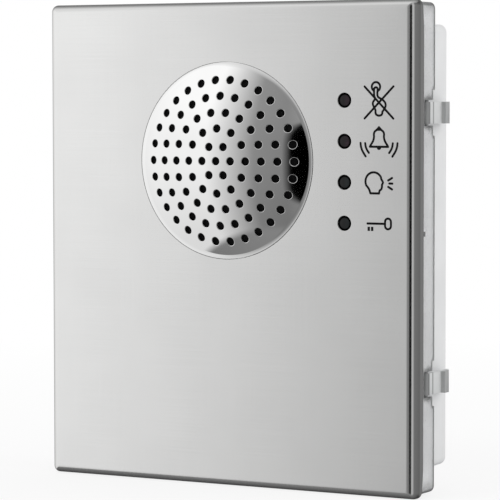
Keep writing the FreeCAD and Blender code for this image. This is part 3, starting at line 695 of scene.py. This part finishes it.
class Dome:
    """Outer profile of the pressed dome: a sphere, then a concave root that runs out almost flat."""

    rise = face - grille_low.y
    sag = rise - dome_root_rise
    radius = (dome_root ** 2 + sag ** 2) / (2 * sag)
    apex = grille_low.y
    centre_y = apex + radius
    root_slope = math.asin(dome_root / radius)
    end = dome_radius - dome_edge
    root_radius = (end - dome_root) / (math.sin(root_slope) - math.sin(dome_end_slope))

    @classmethod
    def at(cls, r):
        """Y of the outer surface and its slope, at a distance from the axis."""
        if r <= dome_root:
            slope = math.asin(r / cls.radius)
            return cls.centre_y - cls.radius * math.cos(slope), slope
        slope = math.asin(max(math.sin(cls.root_slope) - (r - dome_root) / cls.root_radius, 0.0))
        start = cls.centre_y - cls.radius * math.cos(cls.root_slope)
        return start + cls.root_radius * (math.cos(slope) - math.cos(cls.root_slope)), slope

    @classmethod
    def inner(cls, r):
        """Y of the inner surface."""
        inside = cls.radius - sheet
        return cls.centre_y - math.sqrt(inside ** 2 - r ** 2)


def dome_normal(x, z, slope):
    """Outward direction at a place from the dome's axis, where the surface has this slope."""
    r = math.hypot(x, z)
    if r < 1e-9:
        return Vector((0, -1, 0))
    return Vector((x / r * math.sin(slope), -math.cos(slope), z / r * math.sin(slope)))


def grille_places():
    """One hole at the centre and six more in each ring than in the last."""
    places = [(0.0, 0.0)]
    for ring in range(1, grille_rings + 1):
        places += [polar(ring * grille_ring_pitch, t) for t in turn_steps(6 * ring)]
    return places


def lifted(x, z):
    """Point and normal on the outer surface, for a place measured from the dome's axis."""
    y, slope = Dome.at(math.hypot(x, z))
    return Vector((x, y, dome_z + z)), dome_normal(x, z, slope)


def grille_hole(shell, x, z):
    """A punched hole whose front edge rolls in. Returns its front and its back loop."""
    loops = []
    for out, down in quarter(4):
        reach = grille_hole_radius + grille_hole_roll * (1 - out)
        points = []
        normals = []
        for t in turn_steps(grille_hole_steps):
            dx, dz = polar(reach, t)
            point, normal = lifted(x + dx, z + dz)
            inward = Vector((-math.cos(t), 0, -math.sin(t)))
            points.append(point + Vector((0, grille_hole_roll * down, 0)))
            normals.append((normal * (1 - down) + inward * out).normalized())
        loops.append(shell.loop(points, normals))
    back = []
    for t in turn_steps(grille_hole_steps):
        dx, dz = polar(grille_hole_radius, t)
        back.append((x + dx, Dome.inner(math.hypot(x + dx, z + dz)), dome_z + z + dz))
    loops.append(shell.loop(back))
    shell.rings(loops)
    return loops[0], loops[-1]


def scattered(places, reach, spacing, outer):
    """Points on even rings over the dome, clear of its holes."""
    points = [(0.0, 0.0)]
    ring = 1
    while ring * spacing < outer:
        points += [polar(ring * spacing, t) for t in turn_steps(6 * ring, ring * 0.37)]
        ring += 1
    return [(x, z) for x, z in points
            if all(math.hypot(x - a, z - b) > reach for a, b in places)]


def build_dome():
    """The perforated dome with its root, neck and flange, as one closed sheet."""
    shell = Shell()
    places = grille_places()
    holes = [grille_hole(shell, x, z) for x, z in places]
    turn = turn_steps(dome_steps)

    def ring(radius, y, slope=None):
        flat = [polar(radius, t) for t in turn]
        normals = None if slope is None else [dome_normal(a, b, slope) for a, b in flat]
        return shell.loop([(a, y, dome_z + b) for a, b in flat], normals)

    root = []
    root_steps = 8
    for i in range(root_steps + 1):
        r = dome_root + (Dome.end - dome_root) * i / root_steps
        y, slope = Dome.at(r)
        root.append(ring(r, y, slope))
    y, slope = Dome.at(Dome.end)
    edge_steps = 4
    for i in range(1, edge_steps + 1):
        angle = slope + (math.pi / 2 - slope) * i / edge_steps
        root.append(ring(Dome.end + dome_edge * math.sin(angle),
                         y + dome_edge * (1 - math.cos(angle)), angle))
    neck = dome_radius - sheet
    back = plate_back + sheet
    root += [ring(dome_radius, plate_back), ring(dome_flange, plate_back), ring(dome_flange, back),
             ring(neck, back), ring(neck, Dome.inner(neck))]
    shell.rings(root)

    spacing = 0.85 * MM
    clear = grille_hole_radius + grille_hole_roll + 0.25 * MM
    front_points = []
    for x, z in scattered(places, clear, spacing, dome_root - 0.3 * MM):
        point, normal = lifted(x, z)
        front_points += shell.loop([point], [normal])
    shell.fill(root[0], [front for front, back in holes], front_points)
    back_points = []
    for x, z in scattered(places, clear, 2 * spacing, neck - 0.5 * MM):
        back_points += shell.loop([(x, Dome.inner(math.hypot(x, z)), dome_z + z)])
    shell.fill(root[-1], [back for front, back in holes], back_points)
    piece("perforated_dome", shell, "polished_dome", ["speaker_grille"], own_normals=True)


# Lamp windows


def turned(shell, profile, x, z, steps):
    """Solid of revolution about a line along Y. The points of radius and y start and end on the axis."""
    loops = [shell.circle(x, y, z, radius, steps) for radius, y in profile[1:-1]]
    shell.rings(loops)
    for tip, loop in ((profile[0], loops[0]), (profile[-1], loops[-1])):
        shell.fan(loop, shell.loop([(x, tip[1], z)])[0])


def build_lenses():
    """Four windows, each with a slightly crowned front and a rounded edge."""
    crown = 0.07 * MM
    edge = 0.16 * MM
    crown_steps = 5
    violet, green = (0.024, 0.013, 0.019), (0.011, 0.015, 0.016)
    for i, (x, z) in enumerate(lens_places()):
        low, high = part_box("lamp_lens_%d" % (i + 1))
        flange = (high.x - low.x) / 2
        front = low.y
        profile = [(0, front)]
        for step in range(1, crown_steps + 1):
            share = step / crown_steps
            profile.append(((lens_radius - edge) * share, front + crown * share ** 2))
        profile += [(lens_radius - edge + edge * out, front + crown + edge * down)
                    for out, down in quarter(4)[1:]]
        profile += [(lens_radius, plate_back), (flange, plate_back), (flange, high.y), (0, high.y)]
        shell = Shell()
        turned(shell, profile, x, z, 48)
        finish = "smoked_window_%d" % (i + 1)
        smoked_window(finish, violet if i < 2 else green, x, z)
        piece("window_%d" % (i + 1), shell, "smoked_window", ["lamp_lens_%d" % (i + 1)], finish)


# Pictograms, printed flat on the plate. Their points are in millimetres across and up the plate.

stroke = 0.56
ink_depth = 0.02 * MM


def arc(x, z, radius, start, end, steps):
    """Points on an arc, between two angles in degrees."""
    angles = [math.radians(start + (end - start) * i / steps) for i in range(steps + 1)]
    return [(x + radius * math.cos(t), z + radius * math.sin(t)) for t in angles]


def curve(points, steps):
    """Smooth line through given points, with so many steps between two of them."""
    made = []
    ends = [points[0]] + list(points) + [points[-1]]
    for p0, p1, p2, p3 in zip(ends, ends[1:], ends[2:], ends[3:]):
        for i in range(steps):
            t = i / steps
            made.append(tuple(0.5 * (2 * b + (c - a) * t + (2 * a - 5 * b + 4 * c - d) * t * t
                                     + (3 * b - a - 3 * c + d) * t ** 3)
                              for a, b, c, d in zip(p0, p1, p2, p3)))
    return made + [points[-1]]


def ribbon(line):
    """Outline of a stroke along a line, with round ends."""
    points = [Vector(p) for p in line]
    ways = [(q - p).normalized() for p, q in zip(points, points[1:])]
    left = []
    right = []
    for i, point in enumerate(points):
        before = ways[max(i - 1, 0)]
        after = ways[min(i, len(ways) - 1)]
        mean = (before + after).normalized()
        side = Vector((-mean.y, mean.x)) * (stroke / 2 / max(mean.dot(after), 0.5))
        left.append(point + side)
        right.append(point - side)
    outline = right + round_end(points[-1], ways[-1]) + left[::-1] + round_end(points[0], -ways[0])
    return [tuple(p) for p in outline]


def round_end(point, way):
    """Points round the end of a stroke, without the first and the last."""
    steps = 6
    first = math.atan2(way.y, way.x) - math.pi / 2
    return [point + Vector(polar(stroke / 2, first + math.pi * i / steps)) for i in range(1, steps)]


def printed(name, lines, solids=()):
    """One pictogram: strokes and solid shapes joined into one flat outline and raised by the ink's depth."""
    outlines = [ribbon(line) for line in lines] + list(solids)
    points = [Vector(p) for outline in outlines for p in outline]
    made, _, triangles, _, _, in_shapes = delaunay_2d_cdt(points, [], numbered(outlines), 1, 1e-3)
    shell = Shell()
    front = shell.loop([(p.x * MM, face - ink_depth, p.y * MM) for p in made])
    back = shell.loop([(p.x * MM, face + ink_depth / 4, p.y * MM) for p in made])
    borders = set()
    for triangle, inked in zip(triangles, in_shapes):
        if inked:
            shell.faces.append(tuple(front[i] for i in triangle))
            shell.faces.append(tuple(back[i] for i in reversed(triangle)))
            borders.update(zip(triangle, triangle[1:] + triangle[:1]))
    for i, j in borders:
        if (j, i) not in borders:
            shell.faces.append((front[j], front[i], back[i], back[j]))
    drop_loose(piece(name, shell, "smoked_window", finish="print_ink", crease=40))


def drop_loose(obj):
    """Removes points that no face uses."""
    work = bmesh.new()
    work.from_mesh(obj.data)
    bmesh.ops.delete(work, geom=[v for v in work.verts if not v.link_faces], context="VERTS")
    work.to_mesh(obj.data)
    work.free()


def mirrored(line, x):
    """The same line on the other side of an upright axis."""
    return [(2 * x - a, b) for a, b in line]


def print_no_pressing():
    """A finger on a round button, crossed out."""
    button = arc(42.59, 40.13, 1.15, -60, 240, 24)
    tip = arc(42.57, 39.5, 0.5, 180, 0, 8)
    hand = curve([(42.07, 39.5), (42.07, 38.6), (42.12, 37.9), (42.35, 37.2), (41.97, 36.65), (41.73, 36.1),
                  (41.86, 35.5), (42.15, 34.95), (42.45, 34.4), (42.5, 33.65), (42.8, 33.22), (43.4, 33.05),
                  (44.0, 33.17), (44.32, 33.55), (44.38, 34.0), (44.7, 34.4), (45.07, 34.9), (45.26, 35.6),
                  (45.1, 36.25), (44.65, 36.75), (44.1, 37.12), (43.5, 37.42), (43.08, 37.8), (42.98, 38.5),
                  (43.07, 39.5)], 5)
    cross = [[(39.45, 40.2), (47.37, 32.34)], [(47.4, 40.22), (39.46, 32.34)]]
    printed("print_no_pressing", [button, tip, hand] + cross)


def print_bell():
    """A ringing bell."""
    x = 43.44
    rim = (40.93, 25.39)
    side = curve([rim, (41.2, 25.85), (41.68, 26.55), (41.96, 27.2), (42.07, 27.85), (42.05, 28.55),
                  (42.25, 29.08), (42.7, 29.46), (43.1, 29.83), (x, 30.2)], 6)
    base = [rim] + mirrored([rim], x)
    inner = curve([(39.64, 26.26), (39.81, 25.32), (40.16, 24.57), (40.65, 23.89)], 6)
    outer = curve([(38.36, 26.3), (38.47, 25.4), (38.9, 24.3), (39.76, 23.0)], 6)
    lines = [side, mirrored(side, x), base]
    for line in (inner, outer):
        lines += [line, mirrored(line, x)]
    clapper = arc(x, 25.2, 0.6, 180, 360, 10)
    crown = [(x - 0.8, 29.3), (x + 0.8, 29.3), (x, 30.3)]
    printed("print_bell", lines, [crown, clapper])


def print_speaking():
    """A head in profile, drawn plainly, with three short rays in front of its mouth."""
    skull = arc(42.0, 16.82, 2.27, 205, 28, 22)
    front = curve([skull[-1], (44.12, 17.4), (44.55, 16.65), (44.3, 16.05), (44.28, 15.5), (44.1, 14.95),
                   (43.65, 14.6), (43.5, 13.9)], 4)
    foot = [(41.1, 13.9), (43.5, 13.9)]
    nape = curve([skull[0], (40.7, 14.95), foot[0]], 5)
    rays = [[(46.0, 17.15), (47.05, 17.76)], [(46.3, 16.4), (47.15, 16.38)], [(46.0, 15.55), (47.05, 14.95)]]
    outline = nape[::-1] + skull[1:] + front[1:]
    printed("print_speaking", [outline, foot] + rays)


def print_key():
    """A key with two teeth."""
    shaft_z = 6.44
    bow_x = 45.96
    bow_half = 0.81
    straight = 0.5
    shaft = [(40.3, shaft_z), (bow_x - bow_half, shaft_z)]
    sides = [(bow_x + bow_half, shaft_z), (bow_x - bow_half, shaft_z)]
    over = [sides[0]] + arc(bow_x, shaft_z + straight, bow_half, 0, 180, 14) + [sides[1]]
    under = [sides[1]] + arc(bow_x, shaft_z - straight, bow_half, 180, 360, 14) + [sides[0]]
    tooth_half = 0.33
    teeth = [[(x - tooth_half, 4.6), (x + tooth_half, 4.6), (x + tooth_half, 5.64), (x - tooth_half, 5.64)]
             for x in (40.66, 41.6)]
    printed("print_key", [shaft, over, under], teeth)


# Fasteners and contacts at the back


def recess_loop(shell, x, z, y, reach, half):
    """Closed loop of a cross recess."""
    arm = ((reach, -half), (reach, half), (half, half))
    corners = [(c * a - s * b, s * a + c * b) for c, s in ((1, 0), (0, 1), (-1, 0), (0, -1)) for a, b in arm]
    return shell.loop([(x + a, y, z + b) for a, b in corners])


def slot_loop(shell, x, z, y, reach, half):
    """Closed loop of a slot."""
    return shell.loop([(x + a, y, z + b) for a, b in
                       ((reach, -half), (reach, half), (-reach, half), (-reach, -half))])


def screw_head(shell, x, z, seat, top, radius, recess, reach, half, depth):
    """Pan head with a drive recess, its top towards the room behind the wall."""
    steps = 48
    recess_taper = 0.72
    edge = min(0.35 * (top - seat), radius - reach - 0.1 * MM)
    loops = [shell.circle(x, top - edge + edge * out, z, radius - edge * down, steps)
             for out, down in quarter(5)]
    bottom = shell.circle(x, seat, z, radius, steps)
    shell.rings([bottom] + loops)
    shell.cap(bottom)
    mouth = recess(shell, x, z, top, reach, half)
    floor = recess(shell, x, z, top - depth, reach * recess_taper, half * recess_taper)
    shell.rings([mouth, floor])
    shell.cap(floor)
    shell.fill(loops[-1], [mouth])


def build_case_screws():
    """Four long pan-head screws with a cross recess."""
    head_radius = 2.7 * MM
    head_depth = 1.7 * MM
    screw_radius = 1.25 * MM
    thread_pitch = 0.8 * MM
    thread_depth = 0.2 * MM
    shell = Shell()
    x = screws_high.x - head_radius
    z = screws_high.z - head_radius
    top = screws_high.y
    for sx, sz in quadrants:
        screw_head(shell, sx * x, sz * z, top - head_depth, top, head_radius, recess_loop,
                   1.35 * MM, 0.32 * MM, 0.95 * MM)
        threaded_rod(shell, sx * x, sz * z, (screws_low.y, top - head_depth), screw_radius,
                     thread_pitch, thread_depth, 16, point=0.6)
    piece("long_screws", shell, "plated_fastener", ["case_screws"])


def build_terminal_screws():
    """Eight slotted screws at the floor of their wells."""
    count = 8
    radius = 1.6 * MM
    shell = Shell()
    z = (terminal_low.z + terminal_high.z) / 2
    for i in range(count):
        x = terminal_low.x + radius + (terminal_high.x - terminal_low.x - 2 * radius) * i / (count - 1)
        screw_head(shell, x, z, terminal_low.y, terminal_high.y, radius, slot_loop,
                   1.2 * MM, 0.24 * MM, 0.6 * MM)
    piece("wire_screws", shell, "plated_fastener", ["terminal_screws"])


def build_header():
    """Pin header: a black base, notched between the ways, and gold-plated square pins with pointed ends."""
    pin = 0.32 * MM
    tip = 0.55 * MM
    tip_share = 0.45
    notch = 0.35 * MM
    base_depth = 2.5 * MM
    columns, rows = 5, 2
    base_rear = header_low.y + base_depth
    spacing = (header_high.x - header_low.x) / columns
    half = spacing / 2 - 0.01 * MM
    short = half - notch
    way = ((half, -short), (half, short), (short, half), (-short, half),
           (-half, short), (-half, -short), (-short, -half), (short, -half))
    square = ((pin, -pin), (pin, pin), (-pin, pin), (-pin, -pin))
    levels = ((base_rear - 0.1 * MM, 1.0), (header_high.y - tip, 1.0), (header_high.y, tip_share))
    base = Shell()
    pins = Shell()
    for i in range(columns):
        for j in range(rows):
            x = header_low.x + spacing * (i + 0.5)
            z = header_low.z + spacing * (j + 0.5)
            base.rod([base.loop([(x + a, y, z + b) for a, b in way]) for y in (header_low.y, base_rear)])
            pins.rod([pins.loop([(x + a * s, y, z + b * s) for a, b in square]) for y, s in levels])
    piece("header_base", base, "black_moulding", ["bus_header"])
    piece("header_pins", pins, "black_moulding", finish="gold_contact")


# Stage


def seen_directly(finish):
    """1 for what the camera sees straight or through clear plastic, and 0 for all other light."""
    rays = finish.node("ShaderNodeLightPath").outputs
    return finish.math("MAXIMUM", rays["Is Camera Ray"], rays["Is Transmission Ray"])


def studio_world():
    """Even white light, a little weaker than the white that the camera sees behind the object."""
    level = 0.80
    world = bpy.data.worlds.new("studio")
    bpy.context.scene.world = world
    world.use_nodes = True
    air = Nodes(world.node_tree)
    background = air.tree.nodes["Background"].inputs
    air.feed(background["Color"], (1, 1, 1, 1))
    air.feed(background["Strength"], air.spread(seen_directly(air), level, 1, 0, 1))


# Light tent: how bright each wall is, by its angle round the tent in degrees, counted from straight in
# front of the plate and growing to its right. White on the left, fading to grey in front, then a narrow
# light strip and the dim room on the right.
tent_radius = 0.5
tent_walls = ((-180, 0.30), (-150, 0.45), (-112, 0.52), (-90, 0.86), (-72, 0.97), (-37.5, 0.97), (-8, 0.27),
              (9, 0.23), (30, 0.36), (38, 0.60), (47, 0.52), (58, 0.20), (125, 0.16), (180, 0.30))
# Each of these rows holds a first and a last value, and then where the change starts and ends: a height or
# an angle round the tent in degrees, or a depth as a share of the tent's radius.
wall_rise = (0.84, 1.06, -30, 3)
wall_top = (0, 0.1, 10, 25)
ceiling = (0, 0.8, 43, 49)
dark_depth = (0, 0.62, -0.4, 0.4)
dark_height = (0, 1, 15, 40)
# Grey table below the walls: its edge drops to the left and comes up again in the corner behind the left
# wall, and it grows darker towards the wall that carries the object.
table_level = 0.24
table_depth = (1.1, 0.25, -0.87, 0.5)
table_edge = -32.0
table_right = -15.0
table_slope = 9
table_corner = (-10, -70, -130, -100)
table_blur = 1.5
# Opening for the camera: an upright oval with nearly straight sides that reflects nothing, soft on the left.
opening_angle = 20.2
opening_half_width = 12.4
opening_half_height = 21.5
opening_inside = (0.45, 0.92, opening_angle - 6, opening_angle + 2)
opening_outside = 1.08


def wall_light(finish, round_angle, height):
    """Brightness of the walls and the ceiling above them."""
    ramp = finish.node("ShaderNodeValToRGB", {"Fac": finish.spread(round_angle, 0, 1, -180, 180)})
    elements = ramp.color_ramp.elements
    while len(elements) < len(tent_walls):
        elements.new(0.5)
    for element, (angle, level) in zip(elements, tent_walls):
        element.position = (angle + 180) / 360
        element.color = (level, level, level, 1)
    rise = finish.math("ADD", finish.spread(height, *wall_rise), finish.spread(height, *wall_top))
    walls = finish.times(ramp.outputs["Color"], rise)
    return finish.math("MAXIMUM", walls, finish.spread(height, *ceiling))


def above_table(finish, round_angle, height):
    """1 above the edge of the table and 0 below it."""
    edge = finish.math("DIVIDE", finish.math("MINIMUM", round_angle, table_right), table_slope)
    edge = finish.math("ADD", edge, table_edge)
    edge = finish.math("MAXIMUM", edge, finish.spread(round_angle, *table_corner))
    return finish.spread(finish.math("SUBTRACT", height, edge), 0, 1, -table_blur, table_blur)


def beside_opening(finish, round_angle, height):
    """1 outside the camera's opening and 0 inside it."""
    across = finish.math("DIVIDE", finish.math("SUBTRACT", round_angle, opening_angle), opening_half_width)
    along = finish.math("DIVIDE", height, opening_half_height)
    reach = finish.math("ADD", finish.math("POWER", finish.math("ABSOLUTE", across), 2),
                        finish.math("POWER", finish.math("ABSOLUTE", along), 6))
    return finish.spread(reach, 0, 1, finish.spread(round_angle, *opening_inside), opening_outside)


def studio_tent():
    """Walls of the light tent round the object. Only shiny surfaces see them."""
    mesh = bpy.data.meshes.new("tent")
    work = bmesh.new()
    bmesh.ops.create_icosphere(work, subdivisions=5, radius=tent_radius)
    work.to_mesh(mesh)
    work.free()
    tent = place_object("tent", mesh)
    tent.location = (0, plate_back, 0)
    finish = Finish("tent_walls")
    x, y, z = finish.split(finish.place)
    degree = math.degrees(1)
    round_angle = finish.times(finish.math("ARCTAN2", x, finish.times(y, -1)), degree)
    height = finish.times(finish.math("ARCSINE", finish.math("DIVIDE", z, tent_radius)), degree)
    depth = finish.math("DIVIDE", y, tent_radius)

    above = above_table(finish, round_angle, height)
    table = finish.times(finish.spread(depth, *table_depth), table_level)
    level = finish.math("ADD", finish.times(wall_light(finish, round_angle, height), above),
                        finish.times(table, finish.math("SUBTRACT", 1, above)))
    dark = finish.times(finish.spread(depth, *dark_depth), finish.spread(height, *dark_height))
    level = finish.times(level, finish.math("SUBTRACT", 1, dark))
    level = finish.times(level, beside_opening(finish, round_angle, height))

    finish.surface(finish.node("ShaderNodeEmission", {"Strength": level}).outputs["Emission"])
    finish.material.cycles.emission_sampling = "NONE"
    mesh.materials.append(finish.material)
    for rays in ("camera", "diffuse", "transmission", "volume_scatter", "shadow"):
        setattr(tent, "visible_" + rays, False)


def studio_floor():
    """Pale floor that fades into the white background and keeps the object's soft shadow."""
    half = 2.0
    level = cad_low.z
    mesh = bpy.data.meshes.new("floor")
    mesh.from_pydata([(a * half, b * half, level) for a, b in quadrants], [], [(0, 1, 2, 3)])
    floor = place_object("floor", mesh)
    finish = Finish("pale_floor", Base_Color=(0.88, 0.88, 0.88, 1), Roughness=0.9)
    fade = finish.spread(finish.vector("LENGTH", finish.place)["Value"], 0.80, 1.0, 0.10, 0.40)
    mix = finish.node("ShaderNodeMixShader", {
        "Fac": finish.times(seen_directly(finish), fade), 1: finish.shader.outputs["BSDF"],
        2: finish.node("ShaderNodeEmission").outputs["Emission"]})
    finish.surface(mix.outputs["Shader"])
    mesh.materials.append(finish.material)
    floor.visible_glossy = False


def lamp(name, place, size, power):
    """Soft square lamp that faces the object."""
    light = bpy.data.lights.new(name, "AREA")
    light.size = size
    light.energy = power
    obj = place_object(name, light)
    obj.location = place
    obj.rotation_mode = "QUATERNION"
    obj.rotation_quaternion = (-Vector(place)).to_track_quat("-Z", "Y")
    obj.visible_camera = False
    obj.visible_glossy = False


def studio_lamps():
    lamp("key", (-0.9, -1.1, 1.2), 0.9, 7.0)
    lamp("fill", (1.2, 0.2, 0.7), 1.0, 4.0)


def photo_camera():
    """Camera at the photograph's place and angle."""
    data = bpy.data.cameras.new("camera")
    data.lens = camera_lens
    data.sensor_width = 36.0
    data.clip_start = 0.01
    camera = place_object("camera", data)
    flat = math.cos(camera_pitch)
    forward = Vector((-math.sin(camera_yaw) * flat, math.cos(camera_yaw) * flat, -math.sin(camera_pitch)))
    level = forward.cross(Vector((0, 0, 1))).normalized()
    upright = level.cross(forward)
    right = level * math.cos(camera_roll) - upright * math.sin(camera_roll)
    up = level * math.sin(camera_roll) + upright * math.cos(camera_roll)
    turn = Matrix((right, up, -forward)).transposed().to_4x4()
    camera.matrix_world = Matrix.Translation(camera_place) @ turn
    bpy.context.scene.camera = camera


dress_nodes()
build_tray()
build_dome()
build_lenses()
print_no_pressing()
print_bell()
print_speaking()
print_key()
build_case_screws()
build_terminal_screws()
build_header()
for latch in ("upper_right", "lower_right", "upper_left", "lower_left"):
    soften("latch_" + latch, 0.12 * MM)

photo_camera()
studio_world()
studio_tent()
studio_floor()
studio_lamps()
bpy.context.scene.view_settings.view_transform = "Standard"
